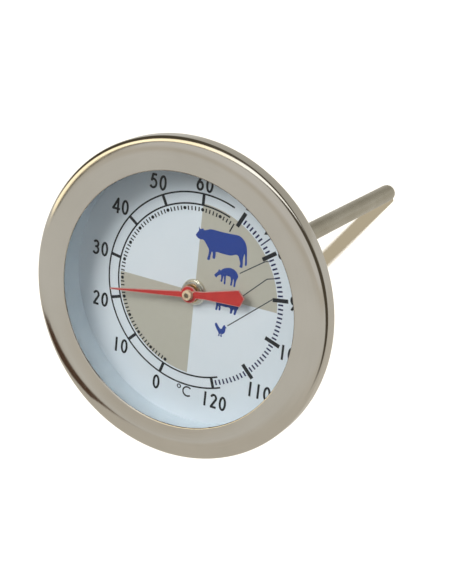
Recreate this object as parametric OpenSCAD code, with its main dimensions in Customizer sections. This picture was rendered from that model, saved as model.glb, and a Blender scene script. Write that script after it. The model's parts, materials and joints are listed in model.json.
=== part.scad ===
// Dial meat thermometer with a bimetal stem, in millimetres.
// It lies on a table: the rear edge of the rim and the tip of the stem touch Z = 0,
// the stem points along +Y, and the dial faces -Y and a little upwards.
// Every module is drawn about the head's axis: z = 0 is the printed face of the dial,
// +z comes out through the window, and +y is the top of the dial.

/* [Head] */
// Outside diameter of the rim
head_d = 60; // [58:0.5:62]
// Rear edge of the rim, in front of the dial's face
rim_rear_z = 4.0; // [3.8:0.1:4.2]
// Thickness of the rim's rolled sheet at its side wall
rim_sheet = 0.6; // [0.4:0.1:0.8]

/* [Bezel] */
// Diameter of the window opening
window_d = 47.6; // [47:0.2:49]
// Height of the front face's crest above the dial
crest_z = 8.1; // [8.0:0.1:8.5]
// Diameter of the crest's circle
crest_d = 54.4; // [53:0.2:55]
// Radius of the gentle crown over the crest
crown_r = 8; // [6:0.5:10]
// Inward slope of the face between crest and window, in degrees
dish_angle = 8; // [4:0.5:9]
// Radius of the shoulder between face and side wall
shoulder_r = 1.3; // [0.7:0.1:1.5]
// Radius of the rolled rear corner
rear_round_r = 0.5; // [0.3:0.1:0.5]

/* [Window] */
// Thickness of the glass
glass_t = 1.25; // [1:0.05:1.25]
// Diameter of the glass
glass_d = 57; // [56.6:0.1:57.2]
// Thickness of the gasket's legs on both sides of the glass
gasket_t = 0.3; // [0.2:0.05:0.3]
// Inside diameter of the white spacer ring
spacer_d = 51.2; // [50:0.2:51.4]

/* [Dial] */
// Thickness of the dial plate
dial_t = 0.5; // [0.3:0.05:0.6]
// Temperature that the pointer shows at rest, in degrees Celsius
reading = 22.7; // [0:0.1:120]
// How far the printed scale is turned clockwise from upright, in degrees
dial_turn = 1.2; // [-3:0.1:3]

/* [Case] */
// Outside diameter of the cup
case_d = 54; // [53.4:0.1:54.2]
// Thickness of the cup's sheet
case_t = 0.5; // [0.4:0.05:0.5]
// Depth of the cup's outer floor behind the dial's face
case_depth = 3.0; // [2.9:0.1:3.4]
// Outer radius of the cup's bottom corner
case_corner_r = 3.0; // [2:0.1:3]
// Diameter of the recess pressed into the cup's floor for the bush
seat_d = 15; // [13:0.5:20]
// Depth of that recess
seat_step = 0.4; // [0.3:0.05:0.5]

/* [Stem] */
// Diameter of the stem
stem_d = 4.0; // [3.8:0.1:4.2]
// Wall of the stem's tube
stem_wall = 0.3; // [0.2:0.05:0.35]
// How much the tube's radius is necked down inside the bush
neck_in = 0.2; // [0.2:0.05:0.3]
// Distance from the dial's face to the tip
stem_reach = 95.2; // [90:0.1:130]
// Hexagon of the bush behind the case, across flats
bush_hex = 10; // [8:0.5:12]

/* [Movement] */
// Diameter of the staff that carries the pointer
staff_d = 1.0; // [0.8:0.1:1.2]
// Radial running clearance of the staff in its guides
running_gap = 0.05; // [0.02:0.01:0.1]
// Length of the bimetal helix
helix_length = 32; // [20:1:40]
// Turns of the bimetal helix
helix_turns = 14; // [8:1:20]
// Thickness of the bimetal strip
strip_t = 0.25; // [0.15:0.05:0.3]

/* [Pointer] */
// Length of the needle from the axis
needle_length = 17.1; // [14:0.1:18]
// Length of the tail from the axis
tail_length = 11.5; // [8:0.1:13]
// Greatest width of the tail
tail_w = 3.1; // [2:0.1:4]
// Thickness of the pointer's sheet
pointer_t = 0.3; // [0.2:0.05:0.4]
// Height of the pointer's underside above the dial
pointer_z = 2.0; // [1.95:0.05:2.5]

/* [Hidden] */

head_r = head_d / 2;
window_r = window_d / 2;
crest_r = crest_d / 2;
stem_r = stem_d / 2;
stem_bore_r = stem_r - stem_wall;
staff_r = staff_d / 2;
guide_bore_r = staff_r + running_gap;
cut = 1;                                // how far a cutter runs past a face
round_fn = 96;

// Bezel section: the crown's circle, and the shoulder's circle inside it
crown_c = [crest_r, crest_z - crown_r];
shoulder_x = head_r - shoulder_r;
crown_end = asin((shoulder_x - crest_r) / (crown_r - shoulder_r));
blend_step = 0.003;                     // how far a blend stands off a true tangent
shoulder_z = crown_c.y + (crown_r - shoulder_r) * cos(crown_end) + blend_step;
dish_start = crown_c + crown_r * [-sin(dish_angle), cos(dish_angle)] - [0, blend_step];
function dish_z(r) = dish_start.y - (dish_start.x - r) * tan(dish_angle);

// The stack under the bezel's lip, from front to back
lip_t = 0.6;
rear_lip_t = 0.5;
edge_step = 0.02;                       // how much smaller a rolled edge is than its sheet
lip_back_z = dish_z(window_r + lip_t / 2) - lip_t;
glass_front_z = lip_back_z - gasket_t;
glass_back_z = glass_front_z - glass_t;
spacer_top_z = glass_back_z - gasket_t;
flange_back_z = rim_rear_z + rear_lip_t;
flange_t = 0.4;
flange_front_z = flange_back_z + flange_t;
cavity_r = head_r - rim_sheet;
flange_r = cavity_r - 0.2;
rear_lip_r = case_d / 2 + 0.4;

// Case cup
case_r = case_d / 2;
case_back_z = -case_depth;
case_floor_z = case_back_z + case_t;
seat_r = seat_d / 2;
seat_back_z = case_back_z + seat_step;
seat_floor_z = seat_back_z + case_t;

// Bush, seal and nut
seal_t = 0.4;
hex_front_z = seat_back_z - seal_t;
hex_t = 2.0;
neck_r = 3.1;
neck_end_z = hex_front_z - hex_t - 3.6;
shank_r = 3.0;
post_r = 2.1;
post_top_z = 1.4;
tube_end_z = -1.0;
tab_t = 0.3;
nut_t = 1.2;
nut_hex = 9;

// Tip and movement, measured along the axis
tip_z = -stem_reach;
dome_z = tip_z + stem_r;
plug_top_z = dome_z + 0.6;
helix_start_z = plug_top_z + 0.4;
helix_end_z = helix_start_z + helix_length;
helix_r = stem_bore_r - 0.3;
core_r = helix_r - strip_t - 0.05;
collar_t = 2.4;
collar_end_z = helix_end_z + 0.4;
lower_guide_z = collar_end_z + 1.6;
middle_guide_z = -30;
guide_t = 2.5;
hub_r = 0.94;
hub_top_z = pointer_z + 1.2;
staff_top_z = hub_top_z - 0.25;
hub_flange_t = 0.15;
ring_r = 1.6;

// The pointer stands at its reading, and 60 degrees is at the top of the scale
degrees_per_c = 26.97 / 10;
pointer_angle = (60 - reading) * degrees_per_c - dial_turn;

// How it lies: the rim's rear corner and the tip's ball both touch the table
ball_r = stem_r;
rest_r = head_r - rear_round_r;
rest_z = rim_rear_z + rear_round_r;
lie_length = rest_z - dome_z;
lie_angle = acos((ball_r - rear_round_r) / norm([rest_r, lie_length])) - atan2(lie_length, rest_r);
tip_ball_y = -dome_z * cos(lie_angle);
front_y = -(shoulder_z * cos(lie_angle) + shoulder_x * sin(lie_angle) + shoulder_r);
axis_y = -(tip_ball_y + ball_r + front_y) / 2;
axis_z = ball_r - dome_z * sin(lie_angle);

// Puts what is drawn about the head's axis onto the table
module lie() {
    translate([0, axis_y, axis_z]) rotate([90 - lie_angle, 0, 0]) children();
}

// Turns a section (x is the radius, y is the height) about the axis
module turn() {
    rotate_extrude($fn = round_fn) children();
}

// Rectangle in a section, from its corners
module block(r0, r1, z0, z1) {
    translate([r0, z0]) square([r1 - r0, z1 - z0]);
}

// Plain ring about the axis
module ring(r0, r1, z0, z1) {
    turn() block(r0, r1, z0, z1);
}

// Round spot in a section
module dot(r, z, radius) {
    translate([r, z]) circle(r = radius, $fn = round_fn);
}

// Hexagonal prism about the axis
module hexagon(flats, z0, z1) {
    translate([0, 0, z0]) cylinder(r = flats / 2 / cos(30), h = z1 - z0, $fn = 6);
}

// Section of the bezel before it is hollowed
module bezel_outline() {
    crown_x = crown_c.x + crown_r * sin(crown_end);
    block(0, shoulder_x, rim_rear_z + rear_round_r, shoulder_z);
    block(0, head_r - rear_round_r, rim_rear_z, shoulder_z);
    block(0, head_r, rim_rear_z + rear_round_r, shoulder_z);
    dot(head_r - rear_round_r, rim_rear_z + rear_round_r, rear_round_r);
    dot(shoulder_x, shoulder_z, shoulder_r);
    intersection() {
        dot(crown_c.x, crown_c.y, crown_r);
        block(dish_start.x - 0.5, crown_x, rim_rear_z + 1, crest_z + cut);
    }
    polygon([[window_r, rim_rear_z], [dish_start.x, rim_rear_z], dish_start, [window_r, dish_z(window_r)]]);
}

// Rolled stainless ring: dished face, shoulder, side wall, and a lip crimped behind the case
module bezel_ring() {
    color([0.72, 0.70, 0.66]) turn() difference() {
        union() {
            difference() {
                bezel_outline();
                block(0, window_r + lip_t / 2, rim_rear_z - cut, crest_z + cut);
            }
            dot(window_r + lip_t / 2 + edge_step, lip_back_z + lip_t / 2, lip_t / 2 - edge_step);
        }
        block(0, cavity_r, flange_back_z, lip_back_z);
        block(0, rear_lip_r, rim_rear_z - cut, flange_back_z + cut);
    }
}

// Flat window glass with a ground edge
module window_glass() {
    edge = 0.2;
    color([0.85, 0.92, 0.94, 0.3]) turn() polygon([
        [0, glass_back_z], [glass_d / 2 - edge, glass_back_z], [glass_d / 2, glass_back_z + edge],
        [glass_d / 2, glass_front_z - edge], [glass_d / 2 - edge, glass_front_z], [0, glass_front_z]
    ]);
}

// Channel gasket that wraps the edge of the glass
module window_gasket() {
    color([0.13, 0.13, 0.13]) turn() difference() {
        block(window_r + 0.45, flange_r, spacer_top_z, lip_back_z);
        block(0, glass_d / 2, glass_back_z, glass_front_z);
        block(0, spacer_d / 2 + 0.5, spacer_top_z - cut, glass_back_z);
    }
}

// White plastic ring between the dial and the glass, with a flange on the case's flange
module spacer_ring() {
    color([0.93, 0.95, 0.97]) turn() {
        block(spacer_d / 2, case_r - case_t - 0.15, 0, spacer_top_z);
        block(spacer_d / 2, flange_r, flange_front_z, spacer_top_z);
    }
}

// Printed dial plate with a hole for the post
module dial_plate() {
    color([0.88, 0.90, 0.93]) ring(post_r, case_r - case_t - 0.25, -dial_t, 0);
}

// Push-on ring that holds the dial on the bush's shoulder
module dial_clip() {
    color([0.80, 0.78, 0.72]) turn() difference() {
        union() {
            block(post_r, 2.45, 0, 0.35);
            dot(post_r, 0.35, 0.25);
        }
        block(0, post_r, -cut, 2);
    }
}

// Pressed cup with a flange, a recess for the bush's seal, and a hole for its shank
module case_cup() {
    corner_x = case_r - case_corner_r;
    corner_z = case_back_z + case_corner_r;
    color([0.70, 0.69, 0.66]) turn() difference() {
        union() {
            difference() {
                union() {
                    block(0, corner_x, case_back_z, corner_z);
                    dot(corner_x, corner_z, case_corner_r);
                    block(0, case_r, corner_z, flange_front_z);
                    block(0, flange_r, flange_back_z, flange_front_z);
                }
                block(0, corner_x, case_floor_z, corner_z + cut);
                dot(corner_x, corner_z, case_corner_r - case_t);
                block(0, case_r - case_t, corner_z, flange_front_z + cut);
            }
            block(0, seat_r + case_t, case_back_z, seat_floor_z);
        }
        block(0, seat_r, case_back_z - cut, seat_back_z);
        block(0, shank_r + 0.1, seat_back_z - cut, seat_floor_z + cut);
    }
}

// Fibre washer between the bush's hexagon and the case
module bush_seal() {
    color([0.35, 0.16, 0.12]) ring(shank_r + 0.05, bush_hex / 2 - 0.3, hex_front_z, seat_back_z);
}

// Turned bush: neck, hexagon, threaded shank, and the post that comes through the dial
module stem_bush() {
    groove = 0.12;
    color([0.74, 0.72, 0.66]) difference() {
        union() {
            turn() polygon([
                [0, neck_end_z], [neck_r - 0.6, neck_end_z], [neck_r, neck_end_z + 1.2],
                [neck_r, hex_front_z - hex_t], [0, hex_front_z - hex_t]
            ]);
            intersection() {
                hexagon(bush_hex, hex_front_z - hex_t, hex_front_z);
                turn() polygon([
                    [0, hex_front_z - hex_t], [bush_hex / 2, hex_front_z - hex_t],
                    [bush_hex / 2 + 1, hex_front_z - hex_t + 0.6], [bush_hex / 2 + 1, hex_front_z],
                    [0, hex_front_z]
                ]);
            }
            ring(0, shank_r, hex_front_z, -dial_t);
            turn() difference() {
                block(0, post_r, -dial_t, post_top_z);
                dot(post_r, 0.85, groove);
            }
        }
        translate([0, 0, neck_end_z - cut])
            cylinder(r = stem_r - neck_in, h = tube_end_z - neck_end_z + cut, $fn = round_fn);
        translate([0, 0, tube_end_z - cut])
            cylinder(r = 1.2, h = post_top_z - tube_end_z + 2 * cut, $fn = round_fn);
    }
}

// Thin tab washer under the lock nut, with one tab bent up against a flat
module tab_washer() {
    tab_w = 2.4;
    color([0.66, 0.66, 0.64]) {
        ring(shank_r + 0.05, nut_hex / 2 + 0.6, seat_floor_z, seat_floor_z + tab_t);
        translate([-tab_w / 2, nut_hex / 2 + 0.05, seat_floor_z]) cube([tab_w, tab_t, tab_t + 0.9]);
    }
}

// Thin hexagonal lock nut inside the case
module lock_nut() {
    nut_z = seat_floor_z + tab_t;
    color([0.76, 0.66, 0.40]) difference() {
        hexagon(nut_hex, nut_z, nut_z + nut_t);
        translate([0, 0, nut_z - cut]) cylinder(r = shank_r, h = nut_t + 2 * cut, $fn = round_fn);
    }
}

// Stainless tube, closed by a round end and necked down where it enters the bush
module stem_tube() {
    color([0.70, 0.68, 0.62]) turn() difference() {
        union() {
            block(0, stem_r - neck_in, dome_z, tube_end_z);
            block(0, stem_r, dome_z, neck_end_z);
            intersection() {
                dot(0, dome_z, stem_r);
                block(0, stem_r, tip_z, dome_z);
            }
        }
        block(0, stem_bore_r, dome_z, neck_end_z - 1);
        block(0, stem_bore_r - neck_in, dome_z, tube_end_z + cut);
    }
}

// Plug in the bottom of the tube, with a boss to which the helix is welded
module tip_plug() {
    color([0.62, 0.60, 0.56]) {
        ring(0, stem_bore_r, dome_z, plug_top_z);
        ring(0, core_r, plug_top_z, helix_start_z + collar_t);
    }
}

// Bush that guides the staff, flush in a bore
module guide(r_out, z0, z1) {
    ring(guide_bore_r, r_out, z0, z1);
}

// Flanged bearing in the top of the post
module upper_bearing() {
    color([0.80, 0.66, 0.36]) {
        guide(1.2, tube_end_z + 0.1, post_top_z);
        guide(1.75, post_top_z, post_top_z + 0.15);
    }
}

// Guide half way down the tube
module staff_guide() {
    color([0.92, 0.92, 0.90]) guide(stem_bore_r, middle_guide_z, middle_guide_z + guide_t);
}

// Guide just above the helix
module lower_bearing() {
    color([0.92, 0.92, 0.90]) guide(stem_bore_r, lower_guide_z, lower_guide_z + guide_t);
}

// Bimetal strip wound into a helix: one ring of four corners every few degrees
module bimetal_helix() {
    steps = helix_turns * 20;
    pitch = (helix_length - 1.2) / helix_turns;
    strip_w = pitch * 0.7;
    corners = [[helix_r, 0], [helix_r, strip_w], [helix_r - strip_t, strip_w], [helix_r - strip_t, 0]];
    points = [
        for (i = [0:steps], c = corners)
            let (a = 360 * helix_turns * i / steps)
            [c.x * cos(a), c.x * sin(a), helix_start_z + pitch * helix_turns * i / steps + c.y]
    ];
    sides = [
        for (i = [0:steps - 1], k = [0:3])
            let (n = (k + 1) % 4)
            [4 * i + k, 4 * (i + 1) + k, 4 * (i + 1) + n, 4 * i + n]
    ];
    ends = [[0, 1, 2, 3], [4 * steps + 3, 4 * steps + 2, 4 * steps + 1, 4 * steps]];
    color([0.72, 0.52, 0.34]) polyhedron(points, concat(sides, ends), convexity = 8);
}

// Collar that joins the helix's upper end to the staff
module helix_collar() {
    color([0.78, 0.64, 0.36]) ring(staff_r, core_r, collar_end_z - collar_t, collar_end_z);
}

// Wire staff from the collar up to the pointer
module staff() {
    color([0.62, 0.62, 0.62]) ring(0, staff_r, collar_end_z - collar_t, staff_top_z);
}

// Plastic washer on which the hub turns
module thrust_washer() {
    color([0.95, 0.95, 0.93]) guide(1.3, post_top_z + 0.17, post_top_z + 0.3);
}

// Cream hub pressed onto the staff, with a small flange under the pointer
module pointer_hub() {
    bevel = 0.16;
    color([0.86, 0.76, 0.60]) turn() {
        block(staff_r, ring_r - 0.15, pointer_z - hub_flange_t, pointer_z);
        polygon([
            [staff_r, pointer_z - hub_flange_t], [hub_r, pointer_z - hub_flange_t],
            [hub_r, hub_top_z - bevel], [hub_r - bevel, hub_top_z], [staff_r, hub_top_z]
        ]);
    }
}

// Outline of the pointer: needle towards +y, tail towards -y
module pointer_outline() {
    root_w = 1.25;
    neck_w = 1.4;
    tip_w = 0.26;
    slit_w = 0.26;
    tail_corner = tail_length - 1.05;
    neck_end = 3.2;
    difference() {
        union() {
            circle(r = ring_r, $fn = round_fn);
            polygon([
                [-root_w / 2, 0], [root_w / 2, 0],
                [tip_w / 2, needle_length], [-tip_w / 2, needle_length]
            ]);
            polygon([
                [neck_w / 2, 0], [-neck_w / 2, 0], [-neck_w / 2, -neck_end],
                [-tail_w / 2, -tail_corner], [0, -tail_length],
                [tail_w / 2, -tail_corner], [neck_w / 2, -neck_end]
            ]);
        }
        circle(r = hub_r, $fn = round_fn);
        rotate(-150) translate([-slit_w / 2, 0]) square([slit_w, ring_r - 0.15]);
    }
}

// Red sheet pointer with a blunt arrow tail and a slit beside the hub
module pointer() {
    color([0.72, 0.16, 0.16]) rotate(pointer_angle) translate([0, 0, pointer_z])
        linear_extrude(height = pointer_t) pointer_outline();
}

lie() bezel_ring();
lie() window_glass();
lie() window_gasket();
lie() spacer_ring();
lie() dial_plate();
lie() dial_clip();
lie() case_cup();
lie() bush_seal();
lie() stem_bush();
lie() tab_washer();
lie() lock_nut();
lie() stem_tube();
lie() tip_plug();
lie() upper_bearing();
lie() staff_guide();
lie() lower_bearing();
lie() bimetal_helix();
lie() helix_collar();
lie() staff();
lie() thrust_washer();
lie() pointer_hub();
lie() pointer();
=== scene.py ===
"""Looks for the dial meat thermometer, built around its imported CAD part.

Lengths are millimetres about the dial's axis until a mesh is made: x to the dial's right,
y to its top, z out through the window, with z = 0 on the dial's printed face.
"""

import json
import math

import bmesh
import bpy
from mathutils import Matrix, Vector
from mathutils.geometry import delaunay_2d_cdt


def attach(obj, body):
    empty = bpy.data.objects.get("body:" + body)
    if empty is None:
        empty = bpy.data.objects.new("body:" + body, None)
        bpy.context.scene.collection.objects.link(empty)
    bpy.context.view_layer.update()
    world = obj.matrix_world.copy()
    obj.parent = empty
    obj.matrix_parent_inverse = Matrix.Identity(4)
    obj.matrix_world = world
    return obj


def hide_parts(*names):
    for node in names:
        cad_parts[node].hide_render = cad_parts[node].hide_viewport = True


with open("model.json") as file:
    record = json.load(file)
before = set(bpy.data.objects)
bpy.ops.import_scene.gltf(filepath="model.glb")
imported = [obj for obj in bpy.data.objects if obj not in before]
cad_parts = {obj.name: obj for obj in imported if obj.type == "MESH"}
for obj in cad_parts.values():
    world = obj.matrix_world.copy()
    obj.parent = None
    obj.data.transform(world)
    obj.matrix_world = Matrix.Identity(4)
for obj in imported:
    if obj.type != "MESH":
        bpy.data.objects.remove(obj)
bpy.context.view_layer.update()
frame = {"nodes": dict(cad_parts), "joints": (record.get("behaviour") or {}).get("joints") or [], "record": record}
NODES = frame["nodes"]
MM = 0.001

# The head's own frame, from the pointer's hinge
JOINT = frame["joints"][0]
OUT = -Vector(JOINT["axis"]).normalized()
RIGHT = Vector((1, 0, 0))
UP = OUT.cross(RIGHT)
CENTRE = Vector(JOINT["pos_m"])
HEAD = Matrix.Translation(CENTRE) @ Matrix((RIGHT, UP, OUT)).transposed().to_4x4()
HEAD_EULER = HEAD.to_euler()

# Scale of the dial
DEGREES_PER_C = 2.697
TOP_C = 60
READING_C = 22.7
PRINT_TURN = Matrix.Rotation(math.radians(-1.2), 2)      # the print is turned clockwise from upright


def about(degrees, radius):
    """The point at a radius and an angle clockwise from the dial's top."""
    a = math.radians(degrees)
    return Vector((radius * math.sin(a), radius * math.cos(a)))


def scale_angle(celsius):
    return (celsius - TOP_C) * DEGREES_PER_C


# ---------------------------------------------------------------- materials


class Shade:
    """A material's node tree. Its pattern coordinates are millimetres in the head's frame."""

    def __init__(self, name):
        self.material = bpy.data.materials.new(name)
        self.material.use_nodes = True
        self.tree = self.material.node_tree
        self.tree.nodes.clear()
        place = self.add("ShaderNodeTexCoord")
        mapping = self.add("ShaderNodeMapping", {"Vector": place.outputs["Object"]}, vector_type="TEXTURE")
        mapping.inputs["Location"].default_value = CENTRE
        mapping.inputs["Rotation"].default_value = HEAD_EULER
        mapping.inputs["Scale"].default_value = (MM, MM, MM)
        self.mm = mapping.outputs["Vector"]

    def add(self, kind, values=None, **settings):
        node = self.tree.nodes.new(kind)
        for key, value in settings.items():
            setattr(node, key, value)
        for key, value in (values or {}).items():
            if isinstance(value, bpy.types.NodeSocket):
                self.tree.links.new(value, node.inputs[key])
            else:
                node.inputs[key].default_value = value
        return node

    def maths(self, operation, a, b=0.0, c=0.0):
        return self.add("ShaderNodeMath", {0: a, 1: b, 2: c}, operation=operation).outputs[0]

    def parts(self):
        """x, y, z and the distance from the axis."""
        split = self.add("ShaderNodeSeparateXYZ", {0: self.mm})
        x, y, z = split.outputs
        squares = self.maths("ADD", self.maths("MULTIPLY", x, x), self.maths("MULTIPLY", y, y))
        return x, y, z, self.maths("SQRT", squares)

    def spread(self, stretch):
        """Coordinates stretched along each axis."""
        return self.add("ShaderNodeVectorMath", {0: self.mm, 1: stretch}, operation="MULTIPLY").outputs[0]

    def turned(self, across, around):
        """Coordinates for rings about the axis: fine across the rings, slow around them."""
        x, y, z, r = self.parts()
        safe = self.maths("MAXIMUM", r, 0.02)
        return self.add(
            "ShaderNodeCombineXYZ",
            {
                0: self.maths("MULTIPLY", self.maths("MULTIPLY_ADD", z, 1.7, r), across),
                1: self.maths("MULTIPLY", self.maths("DIVIDE", x, safe), around),
                2: self.maths("MULTIPLY", self.maths("DIVIDE", y, safe), around),
            },
        ).outputs[0]

    def noise(self, vector, scale=1.0, detail=3.0, roughness=0.5):
        return self.add(
            "ShaderNodeTexNoise",
            {"Vector": vector, "Scale": scale, "Detail": detail, "Roughness": roughness},
        ).outputs[0]

    def remap(self, value, low, high, to_low, to_high):
        return self.add(
            "ShaderNodeMapRange",
            {"Value": value, "From Min": low, "From Max": high, "To Min": to_low, "To Max": to_high},
        ).outputs[0]

    def blend(self, factor, a, b):
        return self.add("ShaderNodeMix", {0: factor, 6: rgba(a), 7: rgba(b)}, data_type="RGBA").outputs[2]

    def bump(self, height, microns):
        values = {"Height": height, "Distance": microns * 1e-6, "Strength": 1.0}
        return self.add("ShaderNodeBump", values).outputs[0]

    def done(self, color, roughness, normal, **sockets):
        """A Principled surface; further sockets are given by name with _ for spaces."""
        values = {"Base Color": rgba(color), "Roughness": roughness, "Normal": normal}
        values.update({key.replace("_", " "): value for key, value in sockets.items()})
        surface = self.add("ShaderNodeBsdfPrincipled", values)
        self.add("ShaderNodeOutputMaterial", {"Surface": surface.outputs[0]})
        return self.material


def rgba(color):
    return color if isinstance(color, bpy.types.NodeSocket) else (*color, 1.0)


AROUND = 3.0                              # how finely a turned grain changes around its rings
DRAWN = 0.04                              # how finely a drawn grain changes along the axis


def metal(name, light, dark, grain, rough, across, microns):
    """Steel or brass with a turned or a drawn grain, soft smudges and uneven tone."""
    s = Shade(name)
    if grain == "turned":
        vector = s.turned(across, AROUND)
    else:
        vector = s.spread((across, across, across * DRAWN))
    lines = s.noise(vector, 1.0, 4.0, 0.65)
    cloud = s.noise(s.mm, 0.09, 3.0, 0.55)
    smudge = s.noise(s.mm, 0.35, 5.0, 0.7)
    tone = s.maths("MULTIPLY_ADD", lines, 0.35, s.maths("MULTIPLY", cloud, 0.65))
    color = s.blend(s.remap(tone, 0.3, 0.7, 0.0, 1.0), dark, light)
    wear = s.maths("MULTIPLY_ADD", lines, 0.4, s.maths("MULTIPLY", smudge, 0.6))
    return s.done(
        color,
        s.remap(wear, 0.3, 0.7, rough[0], rough[1]),
        s.bump(lines, microns),
        Metallic=1.0,
    )


def plastic(name, light, dark, rough=(0.35, 0.5), scale=0.6, microns=3.0, **sockets):
    """Moulded plastic, rubber or paint: slightly uneven tone, and a fine skin in the gloss."""
    s = Shade(name)
    cloud = s.noise(s.mm, scale, 4.0, 0.6)
    skin = s.noise(s.mm, 9.0, 3.0, 0.6)
    color = s.blend(s.remap(cloud, 0.3, 0.7, 0.0, 1.0), dark, light)
    return s.done(color, s.remap(skin, 0.3, 0.7, *rough), s.bump(skin, microns), **sockets)


def clear_glass():
    """Thin window glass: it lets the lamps through, and mirrors by Fresnel with faint smears."""
    s = Shade("window_clear")
    smear = s.noise(s.mm, 0.5, 5.0, 0.7)
    gloss = s.add(
        "ShaderNodeBsdfGlossy",
        {"Color": (1, 1, 1, 1), "Roughness": s.remap(smear, 0.35, 0.75, 0.02, 0.09)},
    )
    through = s.add("ShaderNodeBsdfTransparent", {"Color": (0.985, 0.993, 0.995, 1)})
    fresnel = s.add("ShaderNodeFresnel", {"IOR": 1.25})
    mix = s.add("ShaderNodeMixShader", {0: fresnel.outputs[0], 1: through.outputs[0], 2: gloss.outputs[0]})
    s.add("ShaderNodeOutputMaterial", {"Surface": mix.outputs[0]})
    return s.material


def ink(name, color, faded, rough=0.35):
    """Screen-printed ink: a fine grain and a slightly uneven film."""
    s = Shade(name)
    grain = s.noise(s.mm, 14.0, 3.0, 0.6)
    film = s.noise(s.mm, 1.1, 3.0, 0.5)
    tone = s.maths("MULTIPLY_ADD", grain, 0.5, s.maths("MULTIPLY", film, 0.5))
    return s.done(
        s.blend(s.remap(tone, 0.4, 0.75, 0.0, 1.0), color, faded),
        s.remap(film, 0.3, 0.7, rough - 0.05, rough + 0.12),
        s.bump(grain, 1.5),
        Specular_IOR_Level=0.2,
    )


MATERIALS = {
    "bezel_steel": metal(
        "bezel_satin", (0.70, 0.68, 0.635), (0.63, 0.61, 0.56), "turned", (0.10, 0.17), 5.0, 0.8
    ),
    "glass": clear_glass(),
    "gasket": plastic("gasket_rubber", (0.022, 0.022, 0.024), (0.010, 0.010, 0.011), (0.5, 0.7), 0.8, 6.0),
    "white_plastic": plastic(
        "spacer_white", (0.76, 0.84, 0.90), (0.70, 0.79, 0.86), (0.22, 0.34), 0.5, 1.5
    ),
    "dial_print": plastic("dial_white", (0.74, 0.79, 0.84), (0.70, 0.76, 0.815), (0.30, 0.42), 0.12, 1.0),
    "clip_steel": metal(
        "clip_bright", (0.86, 0.83, 0.75), (0.76, 0.72, 0.63), "turned", (0.18, 0.28), 8.0, 1.0
    ),
    "case_steel": metal(
        "case_pressed", (0.60, 0.59, 0.56), (0.52, 0.51, 0.48), "turned", (0.20, 0.32), 4.0, 1.5
    ),
    "fibre": plastic("fibre_red", (0.20, 0.045, 0.03), (0.12, 0.028, 0.02), (0.6, 0.8), 2.0, 12.0),
    "bush_steel": metal(
        "bush_turned", (0.60, 0.58, 0.52), (0.48, 0.46, 0.41), "turned", (0.16, 0.28), 9.0, 3.0
    ),
    "brass": metal("brass_turned", (0.72, 0.50, 0.22), (0.58, 0.38, 0.15), "turned", (0.18, 0.3), 8.0, 2.0),
    "stem_steel": metal(
        "stem_ground", (0.62, 0.60, 0.525), (0.40, 0.37, 0.29), "drawn", (0.22, 0.32), 0.9, 0.6
    ),
    "guide_plastic": plastic("guide_ptfe", (0.82, 0.82, 0.78), (0.74, 0.74, 0.70), (0.4, 0.55)),
    "bimetal": metal(
        "bimetal_strip", (0.60, 0.40, 0.24), (0.45, 0.36, 0.30), "drawn", (0.25, 0.4), 3.0, 2.0
    ),
    "staff_steel": metal(
        "staff_wire", (0.30, 0.26, 0.19), (0.20, 0.17, 0.12), "drawn", (0.3, 0.4), 6.0, 1.0
    ),
    "hub_cream": plastic("hub_cream", (0.78, 0.62, 0.42), (0.64, 0.48, 0.30), (0.3, 0.45), 1.5, 2.0),
    # The pointer sheet's pale colour shows only as a rim round the enamel: a painted highlight along its edges
    "pointer_red": plastic("pointer_edge", (0.66, 0.30, 0.27), (0.54, 0.20, 0.18), (0.28, 0.4), 0.8, 1.5),
}
for record_material in frame["record"]["materials"]:
    slot_name = record_material["slot"]
    for node in NODES.values():
        for material_slot in node.material_slots:
            if material_slot.material and material_slot.material.name.split(".")[0] == slot_name:
                material_slot.material = MATERIALS[slot_name]

INK_BLACK = ink("ink_black", (0.008, 0.010, 0.014), (0.018, 0.021, 0.028))
INK_NAVY = ink("ink_navy", (0.012, 0.014, 0.070), (0.024, 0.028, 0.110))
INK_BLUE = ink("ink_blue", (0.020, 0.050, 0.260), (0.026, 0.066, 0.310))
INK_LINE = ink("ink_line", (0.030, 0.038, 0.052), (0.048, 0.058, 0.078))
INK_BEIGE = ink("ink_beige", (0.475, 0.455, 0.385), (0.500, 0.480, 0.415), 0.32)
ENAMEL = plastic(
    "pointer_enamel", (0.56, 0.035, 0.030), (0.46, 0.026, 0.026), (0.25, 0.38), 0.5, 1.5,
    Specular_IOR_Level=0.3,
)


# ---------------------------------------------------------------- flat artwork


def band(r0, r1, a0, a1, step=1.5):
    """Part of a ring between two angles, clockwise from the top, as a counter-clockwise outline."""
    n = max(1, math.ceil(abs(a1 - a0) / step))
    angles = [a0 + (a1 - a0) * i / n for i in range(n + 1)]
    return [about(a, r0) for a in angles] + [about(a, r1) for a in reversed(angles)]


def bar(a, b, width):
    """A straight line with square ends."""
    a, b = Vector(a), Vector(b)
    side = (b - a).normalized().orthogonal() * width / 2
    if side.cross(b - a) > 0:
        side = -side
    return [a - side, b - side, b + side, a + side]


def disc(centre, radius, n=20):
    turn = 2 * math.pi / n
    return [Vector(centre) + radius * Vector((math.cos(i * turn), math.sin(i * turn))) for i in range(n)]


def stroke(points, width, closed=False):
    """A pen line through points, with round joints and square ends, as overlapping outlines."""
    points = [Vector(p) for p in points]
    ends = list(zip(points, points[1:] + points[:1])) if closed else list(zip(points, points[1:]))
    inner = points if closed else points[1:-1]
    lines = [bar(a, b, width) for a, b in ends if (b - a).length > 1e-6]
    return lines + [disc(p, width / 2, 12) for p in inner]


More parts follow.
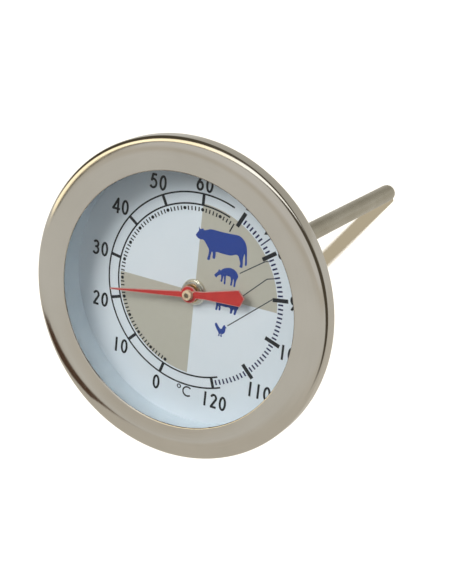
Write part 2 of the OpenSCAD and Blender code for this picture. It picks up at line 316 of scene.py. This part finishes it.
def smooth(points, steps=6):
    """A closed Catmull-Rom curve through points."""
    pts = [Vector(p) for p in points]
    n = len(pts)
    out = []
    for i in range(n):
        p0, p1, p2, p3 = pts[i - 1], pts[i], pts[(i + 1) % n], pts[(i + 2) % n]
        for k in range(steps):
            t = k / steps
            bend = (2 * p0 - 5 * p1 + 4 * p2 - p3) * t**2
            twist = (3 * p1 - 3 * p2 + p3 - p0) * t**3
            out.append(0.5 * (2 * p1 + (p2 - p0) * t + bend + twist))
    return out


def signed_area(outline):
    return sum(a.cross(b) for a, b in zip(outline, outline[1:] + outline[:1])) / 2


def solid(name, outlines, z0, z1, material, body, holes=()):
    """A flat piece as thick as z0 to z1: the union of the outlines, less the holes."""
    outlines = [[PRINT_TURN @ Vector(p) for p in o] for o in [*outlines, *holes]]
    outlines = [o if signed_area(o) > 0 else o[::-1] for o in outlines]
    points, faces = [], []
    for outline in outlines:
        faces.append(list(range(len(points), len(points) + len(outline))))
        points += [Vector(p) for p in outline]
    made = delaunay_2d_cdt(points, [], faces, 1, 1e-5)
    first_hole = len(outlines) - len(holes)
    keep = [f for f, owner in zip(made[2], made[5]) if owner and max(owner) < first_hole]
    mesh = bmesh.new()
    top = {i: mesh.verts.new((*made[0][i], z1)) for f in keep for i in f}
    low = {i: mesh.verts.new((*made[0][i], z0)) for i in top}
    edges = {(f[i - 1], f[i]) for f in keep for i in range(len(f))}
    for f in keep:
        mesh.faces.new([top[i] for i in f])
        mesh.faces.new([low[i] for i in reversed(f)])
    for a, b in edges:
        if (b, a) not in edges:
            mesh.faces.new([top[b], top[a], low[a], low[b]])
    bmesh.ops.recalc_face_normals(mesh, faces=mesh.faces)
    return piece(name, mesh, [material], body)


PIECES = []


def piece(name, mesh, materials, body):
    """Turns a bmesh in head millimetres into a piece of the model that rides on a body."""
    bmesh.ops.transform(mesh, matrix=HEAD @ Matrix.Diagonal((MM, MM, MM, 1)), verts=mesh.verts)
    data = bpy.data.meshes.new(name)
    mesh.to_mesh(data)
    mesh.free()
    for material in materials:
        data.materials.append(material)
    obj = bpy.data.objects.new(name, data)
    bpy.context.scene.collection.objects.link(obj)
    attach(obj, body)
    PIECES.append(obj)
    return obj


def sweep(r, z, radius, start, end, n):
    """Points on an arc of a section, degrees counter-clockwise from outwards."""
    turn = [math.radians(start + (end - start) * i / n) for i in range(n + 1)]
    return [(r + radius * math.cos(t), z + radius * math.sin(t)) for t in turn]


def lathe(name, section, material, body, segments=288):
    """A closed section of (radius, z) points turned about the axis, smooth but for its corners."""
    n = len(section)
    corners = []
    for i in range(n):
        before = Vector(section[i]) - Vector(section[i - 1])
        after = Vector(section[(i + 1) % n]) - Vector(section[i])
        corners.append(abs(before.angle_signed(after)) > math.radians(25))
    mesh = bmesh.new()
    rings = []
    for k in range(segments):
        t = 2 * math.pi * k / segments
        rings.append([mesh.verts.new((r * math.sin(t), r * math.cos(t), z)) for r, z in section])
    for k in range(segments):
        a, b = rings[k - 1], rings[k]
        for i in range(n):
            face = mesh.faces.new([a[i - 1], a[i], b[i], b[i - 1]])
            face.smooth = True
        for i in range(n):
            if corners[i]:
                mesh.edges.get([a[i], b[i]]).smooth = False
    bmesh.ops.recalc_face_normals(mesh, faces=mesh.faces)
    return piece(name, mesh, [material], body)


# Digits on a box one digit wide and high, as pen lines: (x, y) with y up
DIGIT_W, DIGIT_H, PEN = 1.52, 2.9, 0.44
ONE_W = 1.25


def arc(cx, cy, rx, ry, a0, a1, n=14):
    """Points on an ellipse, degrees counter-clockwise from +x."""
    turn = [math.radians(a0 + (a1 - a0) * i / n) for i in range(n + 1)]
    return [(cx + rx * math.cos(t), cy + ry * math.sin(t)) for t in turn]


def glyph(char):
    """The pen lines of a character, in millimetres from its lower left corner, and its width."""
    w, h, e = DIGIT_W, DIGIT_H, PEN / 2
    mid, right, top = w / 2, w - e, h - e
    if char == "0":
        return [(arc(mid, h / 2, mid - e, h / 2 - e, 0, 360, 32)[:-1], True)], w
    if char == "1":
        return [([(ONE_W / 2, 0), (ONE_W / 2, h)], False)], ONE_W
    if char == "2":
        hook = arc(mid, top - 0.60, mid - e - 0.02, 0.60, 165, -28, 14)
        return [(hook + [(e + 0.10, e)], False), ([(e - 0.05, e), (right + 0.1, e)], False)], w
    if char == "3":
        upper = arc(mid - 0.05, top - 0.56, 0.50, 0.56, 150, -90, 14)
        lower = arc(mid - 0.05, e + 0.70, 0.58, 0.70, 90, -150, 16)
        return [(upper + lower[1:], False)], w
    if char == "4":
        return [([(1.12, 0), (1.12, h - 0.1), (0.08, 0.86), (w + 0.05, 0.86)], False)], w
    if char == "5":
        bowl = arc(mid - 0.13, e + 0.80, 0.68, 0.80, 118, -145, 18)
        return [([(1.30, top), (0.48, top)] + [(0.30, 1.58)] + bowl, False)], w
    if char == "6":
        bowl = arc(mid, e + 0.72, mid - e, 0.72, 0, 360, 28)[:-1]
        return [(bowl, True), ([(1.08, h), (0.62, 2.05), (0.24, 1.30)], False)], w
    if char == "7":
        return [([(0, top), (right, top), (0.42, 0)], False)], w
    if char == "8":
        upper = arc(mid, top - 0.56, 0.46, 0.56, 0, 360, 24)[:-1]
        lower = arc(mid, e + 0.70, 0.58, 0.70, 0, 360, 28)[:-1]
        return [(upper, True), (lower, True)], w
    if char == "9":
        bowl = arc(mid, top - 0.72, mid - e, 0.72, 0, 360, 28)[:-1]
        return [(bowl, True), ([(w - 1.08, 0), (w - 0.62, h - 2.05), (w - 0.24, h - 1.30)], False)], w
    raise ValueError(char)


def number(text, centre):
    """Outlines of an upright number about its centre."""
    gap = 0.42
    glyphs = [glyph(c) for c in text]
    width = sum(g[1] for g in glyphs) + gap * (len(text) - 1)
    x = centre[0] - width / 2
    out = []
    for lines, advance in glyphs:
        for points, closed in lines:
            moved = [(x + px, centre[1] - DIGIT_H / 2 + py) for px, py in points]
            out += stroke(moved, PEN, closed)
        x += advance + gap
    return out


# ---------------------------------------------------------------- dial print

INNER_ARC, OUTER_ARC, ARC_LINE = 16.56, 18.66, 0.31
GAP_START, GAP_END = 20.0, 157.0          # where the two arcs stop, clockwise from the top

NUMBERS = {
    "0": (-6.4, -20.0), "10": (-14.9, -14.9), "20": (-20.2, -6.7), "30": (-21.0, 3.3),
    "40": (-17.2, 12.4), "50": (-9.6, 18.8), "60": (0.0, 20.5), "70": (10.1, 19.1),
    "80": (17.6, 11.75), "90": (20.95, 3.0), "100": (20.9, -6.7), "110": (15.2, -15.6),
    "120": (6.3, -20.25),
}

# Ticks: inner radius, outer radius and width
TEN_TICK = (INNER_ARC, OUTER_ARC, 0.58)
FINE_TICK = (15.30, 16.08, 0.25)
LAST_FINE_TICK = (14.2, 16.0, 0.27)
BROAD_TICK = (16.0, 19.1, 0.75)
OUTER_TICK = (19.75, 20.5, 0.3)
NAVY_TICK = (17.1, 18.1, 0.32)
LONG_NAVY_TICK = (17.1, 19.6, 0.24)
DOT_RING, DOT_R = 15.70, 0.33
MARK_C = 77                               # where an arrow head points at the scale


def tick(celsius, kind):
    inner, outer, width = kind
    angle = scale_angle(celsius)
    return bar(about(angle, inner), about(angle, outer), width)


black = [
    band(r - ARC_LINE / 2, r + ARC_LINE / 2, GAP_END, 360 + GAP_START) for r in (INNER_ARC, OUTER_ARC)
]
black += [tick(celsius, TEN_TICK) for celsius in (0, 10, 20, 30, 40, 50, 60, 120)]
for celsius in range(0, 69):
    if celsius % 5 == 0:
        black.append(disc(about(scale_angle(celsius), DOT_RING), DOT_R))
    else:
        black.append(tick(celsius, FINE_TICK))
black.append(tick(69, LAST_FINE_TICK))
black += [tick(celsius, BROAD_TICK) for celsius in (70, 80, 90, 100, 110)]
black.append(tick(70, OUTER_TICK))
mark = scale_angle(MARK_C)
black.append([about(mark - 4.8, 19.75), about(mark - 2.2, 19.6), about(mark - 3.7, 18.95)])
for text, centre in NUMBERS.items():
    black += number(text, centre)

# The unit, a small ring and a C
UNIT_X, UNIT_Y = 0.35, -20.0
black += stroke(arc(UNIT_X + 0.15, UNIT_Y, 0.95, 0.92, 48, 312, 20), 0.3)
black += stroke(arc(UNIT_X - 1.75, UNIT_Y + 0.62, 0.36, 0.36, 0, 360, 16)[:-1], 0.2, True)

navy = []
for celsius in range(71, 120):
    if celsius % 10:
        navy.append(tick(celsius, LONG_NAVY_TICK if celsius == MARK_C else NAVY_TICK))

# Two opposite quarters
beige = [
    band(2.3, 16.15, -90, -180),
    band(2.3, 16.9, 0, 89),
]

# Lines from the signs to the scale
LEADER_LINE = 0.19
leaders = []
for route in (
    [(8.75, 5.75), (13.45, 9.15), (14.2, 9.38)],
    [(9.9, 1.75), (14.24, 6.07), (15.9, 6.60)],
    [(7.43, -4.75), (15.75, 2.60)],
):
    leaders += stroke(route, LEADER_LINE)

cow = smooth([
    (-0.88, 10.72), (-0.72, 11.12), (-0.36, 11.72), (-0.40, 12.38), (-0.06, 12.06), (0.50, 12.28),
    (0.74, 12.02), (1.40, 12.26), (2.10, 12.52), (3.30, 12.54), (4.60, 12.54), (6.20, 12.60),
    (7.50, 12.68), (8.25, 12.52), (8.98, 11.98), (9.50, 11.15), (9.72, 10.20), (9.86, 8.90),
    (9.96, 7.64), (9.60, 7.52), (9.52, 8.50), (9.30, 9.55), (9.10, 8.60), (9.16, 7.60),
    (9.10, 6.92), (8.58, 6.98), (8.64, 7.60), (8.44, 8.15), (8.12, 8.85), (7.62, 9.02),
    (6.60, 8.62), (5.10, 8.54), (3.62, 8.58), (3.54, 8.10), (3.46, 7.28), (2.98, 7.26),
    (2.94, 8.05), (2.78, 8.42), (2.60, 8.10), (2.52, 7.50), (2.40, 6.76), (1.90, 6.78),
    (2.04, 7.60), (2.08, 8.60), (1.62, 9.28), (1.22, 9.78), (0.72, 10.20), (0.10, 10.14), (-0.46, 10.34),
], 5)
pig = smooth([
    (3.70, 4.20), (3.86, 4.50), (4.34, 5.02), (4.52, 5.50), (4.88, 5.36), (5.30, 5.76),
    (5.95, 6.10), (6.80, 6.30), (7.60, 6.16), (8.22, 5.70), (8.50, 5.20), (8.48, 4.80),
    (8.26, 4.30), (8.16, 3.60), (8.10, 3.00), (7.76, 3.02), (7.78, 3.70), (7.62, 4.40),
    (7.50, 3.85), (7.40, 3.10), (7.08, 3.12), (7.14, 3.85), (6.98, 4.56), (6.50, 4.66),
    (6.10, 4.60), (6.10, 3.70), (6.08, 3.00), (5.76, 3.02), (5.76, 3.70), (5.62, 4.48),
    (5.50, 3.95), (5.38, 3.32), (5.06, 3.34), (5.14, 3.95), (5.00, 4.50), (4.72, 4.44),
    (4.36, 4.14), (4.18, 3.84), (3.92, 3.92),
], 5)
calf = smooth([
    (3.75, -0.35), (3.86, 0.05), (4.24, 0.60), (4.42, 1.28), (4.76, 0.96), (5.30, 1.16),
    (6.50, 1.20), (8.00, 1.16), (8.90, 0.82), (9.24, 0.00), (9.22, -0.90), (9.00, -1.30),
    (8.78, -2.22), (8.40, -2.24), (8.46, -1.60), (8.26, -1.34), (8.10, -1.70), (7.98, -2.20),
    (7.62, -2.20), (7.62, -1.60), (7.40, -1.22), (6.50, -1.30), (5.66, -1.30), (5.66, -1.70),
    (5.60, -2.20), (5.26, -2.20), (5.26, -1.70), (5.14, -1.44), (5.06, -1.80), (4.96, -2.30),
    (4.60, -2.28), (4.66, -1.60), (4.60, -0.90), (4.30, -0.56), (3.95, -0.60),
], 5)
hen = smooth([
    (4.82, -5.12), (4.94, -4.84), (5.20, -4.80), (5.58, -5.28), (6.00, -5.66), (6.30, -5.60),
    (6.50, -5.16), (6.62, -4.90), (6.86, -4.78), (6.98, -4.98), (7.30, -5.26), (7.06, -5.40),
    (7.10, -5.75), (7.00, -6.20), (6.70, -6.56), (6.45, -6.66), (6.42, -6.90), (6.56, -7.16),
    (6.20, -7.16), (6.22, -6.72), (6.02, -6.70), (6.00, -6.92), (5.98, -7.16), (5.66, -7.16),
    (5.78, -6.86), (5.74, -6.55), (5.40, -6.10), (5.06, -5.60),
], 5)

INK_FOOT = -0.01                          # the ink starts just under the plate's face
solid("dial_beige", beige, INK_FOOT, 0.010, INK_BEIGE, "head")
solid("dial_animals", [cow, pig, calf, hen], INK_FOOT, 0.022, INK_BLUE, "head")
solid("dial_leaders", leaders, INK_FOOT, 0.018, INK_LINE, "head")
solid("dial_fine_scale", navy, INK_FOOT, 0.020, INK_NAVY, "head")
solid("dial_scale", black, INK_FOOT, 0.026, INK_BLACK, "head")

# The rolled bezel, on the CAD part's own section but finer all round
HEAD_R, REAR_Z, REAR_ROUND, REAR_LIP_R, REAR_LIP = 30.0, 4.0, 0.5, 27.4, 0.5
SHOULDER_R, CREST_R, CREST_Z, CROWN_R, DISH_ANGLE = 1.3, 27.2, 8.1, 8.0, 8.0
WINDOW_R, LIP, CAVITY_R = 23.8, 0.6, 29.4
shoulder_x = HEAD_R - SHOULDER_R
crown_z = CREST_Z - CROWN_R
crown_end = math.degrees(math.asin((shoulder_x - CREST_R) / (CROWN_R - SHOULDER_R)))
shoulder_z = crown_z + (CROWN_R - SHOULDER_R) * math.cos(math.radians(crown_end))
dish = sweep(CREST_R, crown_z, CROWN_R, 90, 90 + DISH_ANGLE, 1)[-1]
lip_x = WINDOW_R + LIP / 2
lip_top = dish[1] - (dish[0] - lip_x) * math.tan(math.radians(DISH_ANGLE))
bezel = lathe(
    "bezel_rolled",
    [(REAR_LIP_R, REAR_Z + REAR_LIP), (REAR_LIP_R, REAR_Z)]
    + sweep(HEAD_R - REAR_ROUND, REAR_Z + REAR_ROUND, REAR_ROUND, -90, 0, 8)
    + sweep(shoulder_x, shoulder_z, SHOULDER_R, 0, 90 - crown_end, 20)
    + sweep(CREST_R, crown_z, CROWN_R, 90 - crown_end, 90 + DISH_ANGLE, 24)[1:]
    + sweep(lip_x, lip_top - LIP / 2, LIP / 2 - 0.01, 90 + DISH_ANGLE, 270, 14)
    + [(CAVITY_R, lip_top - LIP), (CAVITY_R, REAR_Z + REAR_LIP)],
    MATERIALS["bezel_steel"], "head",
)
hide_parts("bezel_ring")

# Red enamel on the pointer's face; the pale sheet colour left showing round it is a painted highlight along the
# pointer's edges
HIGHLIGHT_RIM = 0.11                                # width of the pale rim round the enamel: a painted highlight along the pointer's edges
SHEET_TOP, ENAMEL_FOOT, ENAMEL_SKIN = 2.3, 0.02, 0.03      # it starts below the top and ends above it
NEEDLE, BARE_TIP, TAIL, TAIL_CORNER, NECK_END = 17.1, 0.4, 11.5, 10.45, 3.2
ROOT_W, NECK_W, TAIL_W = 1.25, 1.4, 3.1   # the sheet's widths
BOSS_R, HUB_R, HUB_GAP = 1.6, 0.94, 0.04
SLIT_W, SLIT_END, SLIT_TURN = 0.4, 1.55, -150
turned = Matrix.Rotation(math.radians(-scale_angle(READING_C)), 2)
half_root, half_neck, half_tail = ROOT_W / 2 - HIGHLIGHT_RIM, NECK_W / 2 - HIGHLIGHT_RIM, TAIL_W / 2 - HIGHLIGHT_RIM
half_tip = 0.05
needle_end = NEEDLE - BARE_TIP
enamel = [
    disc((0, 0), BOSS_R - HIGHLIGHT_RIM, 48),
    [(-half_root, 0), (half_root, 0), (half_tip, needle_end), (-half_tip, needle_end)],
    [
        (half_neck, 0), (-half_neck, 0), (-half_neck, -NECK_END), (-half_tail, -TAIL_CORNER),
        (0, HIGHLIGHT_RIM * 1.3 - TAIL), (half_tail, -TAIL_CORNER), (half_neck, -NECK_END),
    ],
]
slit_turn = Matrix.Rotation(math.radians(SLIT_TURN), 2)
slit_corners = ((-SLIT_W / 2, 0), (SLIT_W / 2, 0), (SLIT_W / 2, SLIT_END), (-SLIT_W / 2, SLIT_END))
slit = [slit_turn @ Vector(p) for p in slit_corners]
solid(
    "pointer_enamel",
    [[turned @ Vector(p) for p in outline] for outline in enamel],
    SHEET_TOP - ENAMEL_FOOT, SHEET_TOP + ENAMEL_SKIN, ENAMEL, "pointer_set",
    holes=[[turned @ Vector(p) for p in hole] for hole in (disc((0, 0), HUB_R + HUB_GAP, 36), slit)],
)


# ---------------------------------------------------------------- stage, lamps and camera

# The table: what the camera sees of it in the shade, and how the steel mirrors it, all as radiance
FLOOR_SEEN = (0.40, 0.34, 0.235)
FLOOR_NEAR, FLOOR_FAR = (0.58, 0.54, 0.47), (0.63, 0.61, 0.565)
FLOOR_MIDDLE, FLOOR_TURNS = (0.0, -0.04, 0.0), (0.05, 0.15)          # near turns to far at these distances
FLOOR_ON_MATT = 0.40                      # its strength on matt surfaces
FLOOR_HALF = 3.0

# The mirrored table is dark past both of these lines: a direction, and where along it
# the dark begins and where it is full
DARK_CORNER = (
    ((1.0, -0.76, 0.0), (0.090, 0.105)),
    ((0.2, 1.0, 0.0), (-0.06, -0.04)),
)

# The room, as radiance
ROOM_FRONT = (                            # by the sine of the height above the horizon
    (0.0, (0.63, 0.61, 0.565)),
    (0.12, (0.56, 0.52, 0.45)),
    (0.17, (0.56, 0.52, 0.45)),
    (0.28, (0.68, 0.66, 0.63)),
    (1.0, (0.66, 0.64, 0.60)),
)
ROOM_BACK = (
    (0.0, (0.54, 0.51, 0.45)),
    (0.26, (0.46, 0.44, 0.39)),
    (0.34, (0.10, 0.085, 0.060)),
    (1.0, (0.11, 0.095, 0.070)),
)
DARK_WALL = (0.085, 0.070, 0.048)
WINDOW_SIDE = (-0.648, 0.687, 0.326)      # the room is bright on this side, at the back left
WINDOW_GOLD, WINDOW_WHITE = (1.75, 1.52, 1.08), (1.55, 1.53, 1.46)
ROOM_ON_MATT = 0.16                       # the room's strength on matt surfaces

# Where one part of the room turns into the next: along y, along WINDOW_SIDE and along x
FRONT_TO_DARK, SIDES_TO_BACK = (-0.25, -0.12), (0.52, 0.62)
FRONT_TO_SHADE, SHADE_TO_WINDOW, WINDOW_TO_DARK = (-0.02, 0.01), (0.06, 0.09), (0.50, 0.62)
GOLD_TO_WHITE, BACK_TO_DARK = (-0.43, 0.10), (0.62, 0.80)

# All area lamps aim at the head's middle. The matt ones: name, place, side, colour and radiance
AIM = (0.0, -0.038, 0.03)
MATT_LAMPS = (
    ("key", (-0.225, -0.412, 0.525), 0.40, (1.0, 0.99, 0.97), 8.6),
    ("fill", (0.30, -0.42, 0.42), 0.40, (0.92, 0.97, 1.0), 1.8),
    ("graze", (0.40, -0.13, 0.46), 0.35, (0.92, 0.97, 1.0), 3.4),
)
SUN_ENERGY, SUN_ANGLE, SUN_WAY = 14.0, 7.0, (-0.20, 0.02, -1.0)      # the angle is its width in degrees

CAMERA_PLACE = (0.112009, -0.214692, 0.164432)
CAMERA_AZIMUTH, CAMERA_ELEVATION, CAMERA_ROLL = 30.806, 33.299, 3.656        # degrees
CAMERA_LENS, CAMERA_SENSOR = 83.905, 36.0


def emitter(name, location, side, color, radiance, lights):
    """A soft square lamp aimed at the head, for what mirrors it ("gloss") or for matt surfaces ("matt")."""
    data = bpy.data.lights.new(name, "AREA")
    data.shape = "RECTANGLE"
    data.size, data.size_y = side, side
    data.color = color
    data.energy = radiance * math.pi * side * side
    lamp = bpy.data.objects.new(name, data)
    lamp.location = location
    lamp.rotation_mode = "QUATERNION"
    lamp.rotation_quaternion = (Vector(AIM) - Vector(location)).to_track_quat("-Z", "Y")
    lamp.visible_diffuse = lights == "matt"
    lamp.visible_glossy = lights == "gloss"
    bpy.context.scene.collection.objects.link(lamp)
    return lamp


def collection_of(name, *objs):
    made = bpy.data.collections.new(name)
    for obj in objs:
        made.objects.link(obj)
    return made


def node_tree(data, output):
    """Empties a node tree and returns its adder and its output node."""
    data.use_nodes = True
    tree = data.node_tree
    tree.nodes.clear()

    def add(kind, values=None):
        node = tree.nodes.new(kind)
        for key, value in (values or {}).items():
            if isinstance(value, bpy.types.NodeSocket):
                tree.links.new(value, node.inputs[key])
            else:
                node.inputs[key].default_value = value
        return node

    return add, add(output)


def along(add, vector, direction):
    dot = add("ShaderNodeVectorMath", {0: vector, 1: direction})
    dot.operation = "DOT_PRODUCT"
    return dot.outputs["Value"]


def over(add, value, ends, top=1.0):
    """0 before the first end and top after the second, with a straight ramp between them."""
    return add(
        "ShaderNodeMapRange", {"Value": value, "From Min": ends[0], "From Max": ends[1], "To Max": top}
    ).outputs[0]


def mix_colors(add, factor, a, b):
    a, b = (rgba(c) for c in (a, b))
    return add("ShaderNodeMixRGB", {0: factor, 1: a, 2: b}).outputs[0]


def matt_dims_to(add, path, strength):
    """1 for rays from the steel or the glass, and a lower strength for rays from matt surfaces."""
    return add(
        "ShaderNodeMapRange", {"Value": path.outputs["Is Diffuse Ray"], "To Min": 1.0, "To Max": strength}
    ).outputs[0]


def floor():
    """A large pale table top, which the steel mirrors darker than the camera sees it in the light."""
    mesh = bmesh.new()
    bmesh.ops.create_grid(mesh, x_segments=1, y_segments=1, size=FLOOR_HALF)
    data = bpy.data.meshes.new("table_top")
    mesh.to_mesh(data)
    mesh.free()
    material = bpy.data.materials.new("table_white")
    add, output = node_tree(material, "ShaderNodeOutputMaterial")
    place = add("ShaderNodeTexCoord").outputs["Object"]
    distance = add("ShaderNodeVectorMath", {0: place, 1: FLOOR_MIDDLE})
    distance.operation = "DISTANCE"
    far = over(add, distance.outputs["Value"], FLOOR_TURNS)
    corner = 1.0
    for direction, ends in DARK_CORNER:
        corner = over(add, along(add, place, direction), ends, corner)
    shaded = mix_colors(add, corner, mix_colors(add, far, FLOOR_NEAR, FLOOR_FAR), DARK_WALL)
    path = add("ShaderNodeLightPath")
    strength = matt_dims_to(add, path, FLOOR_ON_MATT)
    mirrored = add("ShaderNodeEmission", {"Color": shaded, "Strength": strength})
    matt = add("ShaderNodeBsdfDiffuse", {"Color": (0.2, 0.2, 0.2, 1)})
    glow = add("ShaderNodeEmission", {"Color": rgba(FLOOR_SEEN)})
    seen = add("ShaderNodeAddShader", {0: matt.outputs[0], 1: glow.outputs[0]})
    mix = add(
        "ShaderNodeMixShader", {0: path.outputs["Is Camera Ray"], 1: mirrored.outputs[0], 2: seen.outputs[0]}
    )
    output.id_data.links.new(mix.outputs[0], output.inputs["Surface"])
    data.materials.append(material)
    table = bpy.data.objects.new("table_top", data)
    bpy.context.scene.collection.objects.link(table)
    return table


def card(name, centre, target, size, color):
    """A dark card that only shows as a reflection in the steel."""
    mesh = bmesh.new()
    bmesh.ops.create_grid(mesh, x_segments=1, y_segments=1, size=0.5)
    data = bpy.data.meshes.new(name)
    bmesh.ops.scale(mesh, vec=(*size, 1), verts=mesh.verts)
    mesh.to_mesh(data)
    mesh.free()
    material = bpy.data.materials.new(name)
    add, output = node_tree(material, "ShaderNodeOutputMaterial")
    light = add("ShaderNodeEmission", {"Color": rgba(color)})
    output.id_data.links.new(light.outputs[0], output.inputs["Surface"])
    data.materials.append(material)
    obj = bpy.data.objects.new(name, data)
    obj.location = centre
    obj.rotation_mode = "QUATERNION"
    obj.rotation_quaternion = (Vector(target) - Vector(centre)).to_track_quat("Z", "Y")
    for kind in ("camera", "diffuse", "transmission", "shadow", "volume_scatter"):
        setattr(obj, f"visible_{kind}", False)
    bpy.context.scene.collection.objects.link(obj)
    return obj


def surroundings():
    """A pale room with a bright window side and dark walls; the camera itself sees white."""
    world = bpy.data.worlds.new("room")
    add, output = node_tree(world, "ShaderNodeOutputWorld")
    place = add("ShaderNodeTexCoord").outputs["Generated"]
    x, y, z = add("ShaderNodeSeparateXYZ", {0: place}).outputs
    window = along(add, place, WINDOW_SIDE)

    def by_height(stops):
        ramp = add("ShaderNodeValToRGB", {0: z})
        for i, (height, color) in enumerate(stops):
            element = ramp.color_ramp.elements[i] if i < 2 else ramp.color_ramp.elements.new(height)
            element.position = height
            element.color = rgba(color)
        return ramp.outputs[0]

    bright = mix_colors(add, over(add, x, GOLD_TO_WHITE), WINDOW_GOLD, WINDOW_WHITE)
    back = mix_colors(add, over(add, x, BACK_TO_DARK), by_height(ROOM_BACK), DARK_WALL)
    wall = by_height(ROOM_FRONT)
    for value, ends, beyond in (
        (y, FRONT_TO_DARK, DARK_WALL),
        (window, FRONT_TO_SHADE, DARK_WALL),
        (window, SHADE_TO_WINDOW, bright),
        (window, WINDOW_TO_DARK, DARK_WALL),
        (y, SIDES_TO_BACK, back),
    ):
        wall = mix_colors(add, over(add, value, ends), wall, beyond)
    path = add("ShaderNodeLightPath")
    strength = matt_dims_to(add, path, ROOM_ON_MATT)
    room = add("ShaderNodeBackground", {"Color": wall, "Strength": strength})
    seen = add("ShaderNodeBackground", {"Color": (1, 1, 1, 1)})
    blend = add(
        "ShaderNodeMixShader", {0: path.outputs["Is Camera Ray"], 1: room.outputs[0], 2: seen.outputs[0]}
    )
    output.id_data.links.new(blend.outputs[0], output.inputs[0])
    bpy.context.scene.world = world


def camera():
    """The camera at the photograph's viewing angle."""
    angles = (CAMERA_AZIMUTH, CAMERA_ELEVATION, CAMERA_ROLL)
    azimuth, elevation, roll = (math.radians(a) for a in angles)
    flat = math.cos(elevation)
    back = Vector((math.sin(azimuth) * flat, -math.cos(azimuth) * flat, math.sin(elevation)))
    level = Vector((math.cos(azimuth), math.sin(azimuth), 0))
    upright = back.cross(level)
    right = level * math.cos(roll) - upright * math.sin(roll)
    up = upright * math.cos(roll) + level * math.sin(roll)
    data = bpy.data.cameras.new("camera")
    data.lens, data.sensor_width = CAMERA_LENS, CAMERA_SENSOR
    data.clip_start, data.clip_end = 0.01, 20.0
    cam = bpy.data.objects.new("camera", data)
    turn = Matrix((right, up, back)).transposed().to_4x4()
    cam.matrix_world = Matrix.Translation(CAMERA_PLACE) @ turn
    bpy.context.scene.collection.objects.link(cam)
    bpy.context.scene.camera = cam


table = floor()
surroundings()
camera()

# The table's sun reaches only the table, and only the stem stands in its way
sun = bpy.data.lights.new("table_sun", "SUN")
sun.energy, sun.angle = SUN_ENERGY, math.radians(SUN_ANGLE)
table_sun = bpy.data.objects.new("table_sun", sun)
table_sun.rotation_mode = "QUATERNION"
table_sun.rotation_quaternion = Vector(SUN_WAY).to_track_quat("-Z", "Y")
bpy.context.scene.collection.objects.link(table_sun)
table_sun.light_linking.receiver_collection = collection_of("lit_by_table_sun", table)
table_sun.light_linking.blocker_collection = collection_of(
    "shades_table", *(NODES[n] for n in ("stem_tube", "tip_plug", "stem_bush"))
)

# The matt lamps reach only the thermometer, and the spark only the metal at its hub
subject = collection_of("subject", *NODES.values(), *PIECES)
for name, location, side, color, radiance in MATT_LAMPS:
    lamp = emitter(name, location, side, color, radiance, "matt")
    lamp.light_linking.receiver_collection = subject
spark = emitter("spark", (-0.10, -0.40, 0.60), 0.3, (1.0, 0.98, 0.93), 5.0, "gloss")
spark.light_linking.receiver_collection = collection_of(
    "hub_metal", *(NODES[n] for n in ("dial_clip", "stem_bush", "upper_bearing", "pointer_hub"))
)

# A dark streak in the lower left of the rim
card("low_flag", (-0.055, -0.085, 0.0006), (-0.055, -0.085, 1.0), (0.054, 0.036), (0.085, 0.045, 0.026))

bpy.context.scene.view_settings.view_transform = "Standard"
bpy.context.scene.view_settings.look = "None"
